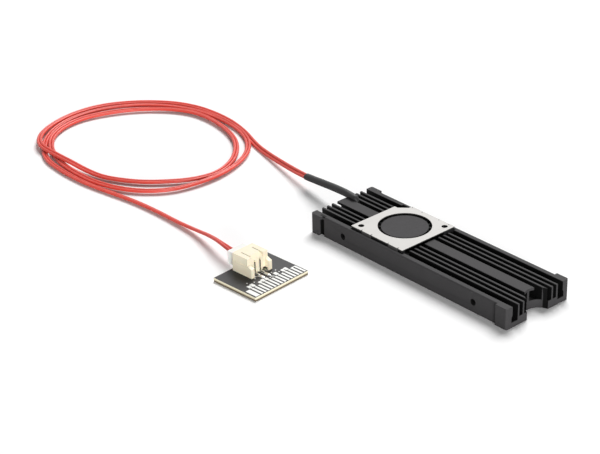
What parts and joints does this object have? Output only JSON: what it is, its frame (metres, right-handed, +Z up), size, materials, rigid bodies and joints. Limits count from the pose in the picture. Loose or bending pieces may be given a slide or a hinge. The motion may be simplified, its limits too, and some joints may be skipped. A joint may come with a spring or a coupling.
{
  "type": "ssd heat sink",
  "caption": "Low finned aluminium cooler for a flat storage module, with a thin blower let into its fins and a coiled twin lead ending in a plug on a small adapter board.",
  "frame": {"origin": "centre of the finned block's footprint, on the plane of its underside", "axes": "+X along the fins towards the end with the round screw notch, +Y away from the side with the adapter board, +Z up out of the fins"},
  "size_m": [0.192, 0.071, 0.0083],
  "materials": {
    "black_anodised": "fine bead-blasted, black anodised",
    "pad_grey": "soft matt thermal pad",
    "fan_black": "moulded, satin",
    "cover_metal": "stamped, satin",
    "impeller_grey": "moulded, satin",
    "steel": "ground",
    "magnet_black": "bonded ferrite, matt",
    "bearing_bronze": "sintered",
    "washer_white": "smooth",
    "lamination": "stamped stack",
    "copper": "enamelled wire",
    "motor_board_green": "solder mask",
    "chip_black": "moulded",
    "solder": "bright",
    "lead_red": "smooth insulation",
    "wire_black": "smooth insulation",
    "sleeve_black": "shrunk tube, satin",
    "plug_white": "moulded",
    "header_ivory": "moulded",
    "contact_tin": "tinned",
    "board_black": "solder mask",
    "edge_contact": "plated"
  },
  "bodies": {
    "cooler": {"adapter_board": "board_black", "anchor_pad_1": "edge_contact", "anchor_pad_2": "edge_contact", "bearing_sleeve": "bearing_bronze", "driver_chip": "chip_black", "edge_contact_01": "edge_contact", "edge_contact_02": "edge_contact", "edge_contact_03": "edge_contact", "edge_contact_04": "edge_contact", "edge_contact_05": "edge_contact", "edge_contact_06": "edge_contact", "edge_contact_07": "edge_contact", "edge_contact_08": "edge_contact", "edge_contact_09": "edge_contact", "edge_contact_10": "edge_contact", "edge_contact_11": "edge_contact", "edge_contact_12": "edge_contact", "edge_contact_13": "edge_contact", "edge_contact_14": "edge_contact", "edge_contact_15": "edge_contact", "fan_cover": "cover_metal", "fan_housing": "fan_black", "fan_wire_1": "wire_black", "fan_wire_2": "wire_black", "header_anchor_1": "contact_tin", "header_anchor_2": "contact_tin", "header_housing": "header_ivory", "header_pin_1": "contact_tin", "header_pin_2": "contact_tin", "heat_shrink_sleeve": "sleeve_black", "heat_sink": "black_anodised", "lead_coil": "lead_red", "lead_run_in": "lead_red", "lead_run_out": "lead_red", "motor_board": "motor_board_green", "motor_solder_1": "solder", "motor_solder_2": "solder", "pin_pad_1": "edge_contact", "pin_pad_2": "edge_contact", "plug_contact_1": "contact_tin", "plug_contact_2": "contact_tin", "plug_housing": "plug_white", "stator_coil_1": "copper", "stator_coil_2": "copper", "stator_coil_3": "copper", "stator_coil_4": "copper", "stator_core": "lamination", "thermal_pad": "pad_grey", "thrust_washer": "washer_white"},
    "rotor": {"impeller": "impeller_grey", "rotor_magnet": "magnet_black", "rotor_shaft": "steel", "rotor_yoke": "steel"}
  },
  "joints": [
    {"name": "rotor_spin", "type": "hinge", "parent": "cooler", "child": "rotor", "pos_m": [-0.01255, 0.0006, 0.0064], "axis": [0, 0, 1], "continuous": true}
  ]
}
